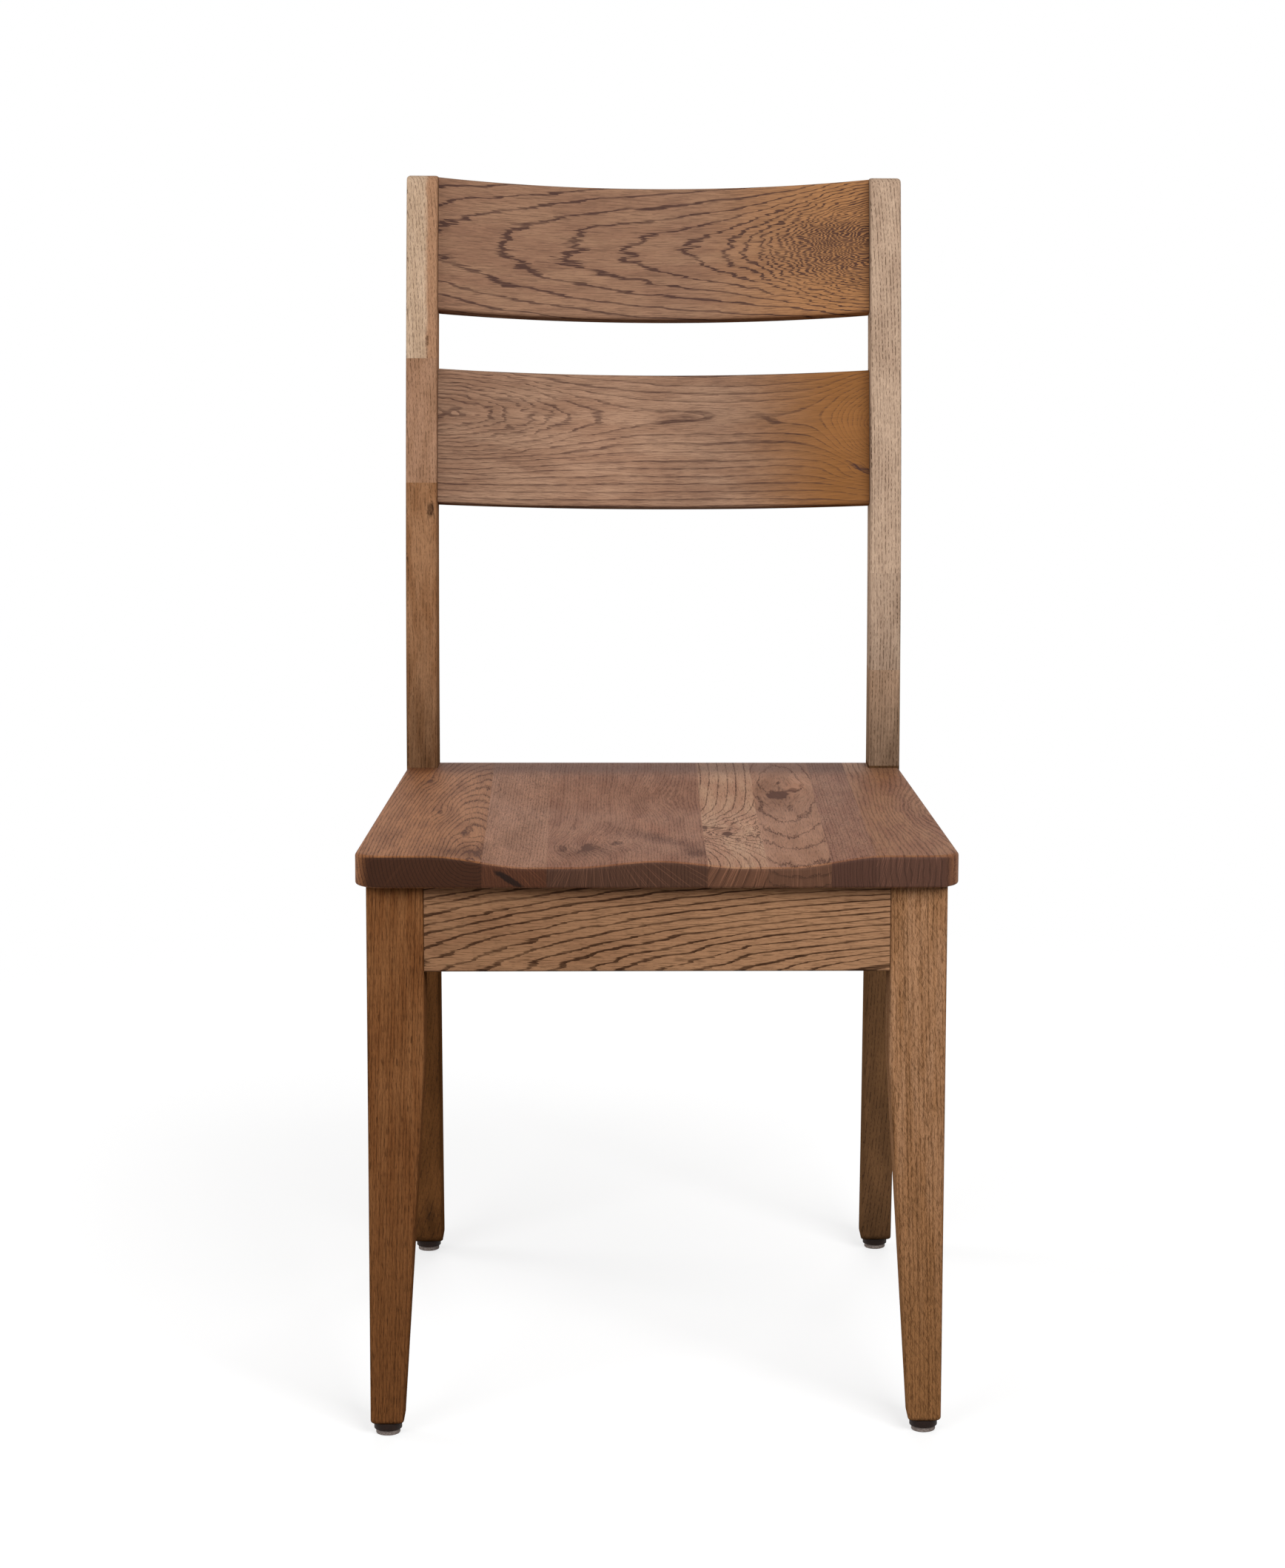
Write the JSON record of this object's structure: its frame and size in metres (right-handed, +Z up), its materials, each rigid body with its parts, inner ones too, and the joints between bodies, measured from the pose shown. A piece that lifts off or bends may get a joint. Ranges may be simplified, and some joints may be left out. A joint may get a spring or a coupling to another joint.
{
  "type": "dining chair",
  "caption": "Solid oak dining chair with a scooped stave-glued seat, tapered front legs, swept rear legs and two bent back slats on felt glides.",
  "frame": {"origin": "on the floor, in the middle of the chair's footprint box", "axes": "+Z up along the chair's height, its longest side; +X to the right of someone who faces the chair, across its width, its shortest side; the front faces -Y"},
  "size_m": [0.4644, 0.5942, 0.98],
  "materials": {
    "seat_oak": "satin",
    "frame_oak": "satin",
    "slat_oak": "satin",
    "block_oak": "matt",
    "brown_plastic": "satin",
    "grey_felt": "matt",
    "zinc_steel": "satin"
  },
  "bodies": {
    "root": {"seat_stave_1": "seat_oak", "seat_stave_2": "seat_oak", "seat_stave_3": "seat_oak", "seat_stave_4": "seat_oak", "seat_stave_5": "seat_oak", "seat_stave_6": "seat_oak", "seat_stave_7": "seat_oak", "front_leg_left": "frame_oak", "rear_leg_left": "frame_oak", "side_apron_left": "frame_oak", "front_leg_right": "frame_oak", "rear_leg_right": "frame_oak", "side_apron_right": "frame_oak", "front_apron": "frame_oak", "rear_apron": "frame_oak", "top_slat": "slat_oak", "lower_slat": "slat_oak", "corner_block_front_left": "block_oak", "seat_screw_front_left": "zinc_steel", "block_screw_front_left": "zinc_steel", "glide_cup_front_left": "brown_plastic", "felt_pad_front_left": "grey_felt", "glide_nail_front_left": "zinc_steel", "corner_block_front_right": "block_oak", "seat_screw_front_right": "zinc_steel", "block_screw_front_right": "zinc_steel", "glide_cup_front_right": "brown_plastic", "felt_pad_front_right": "grey_felt", "glide_nail_front_right": "zinc_steel", "corner_block_rear_left": "block_oak", "seat_screw_rear_left": "zinc_steel", "block_screw_rear_left": "zinc_steel", "glide_cup_rear_left": "brown_plastic", "felt_pad_rear_left": "grey_felt", "glide_nail_rear_left": "zinc_steel", "corner_block_rear_right": "block_oak", "seat_screw_rear_right": "zinc_steel", "block_screw_rear_right": "zinc_steel", "glide_cup_rear_right": "brown_plastic", "felt_pad_rear_right": "grey_felt", "glide_nail_rear_right": "zinc_steel"}
  },
  "joints": []
}
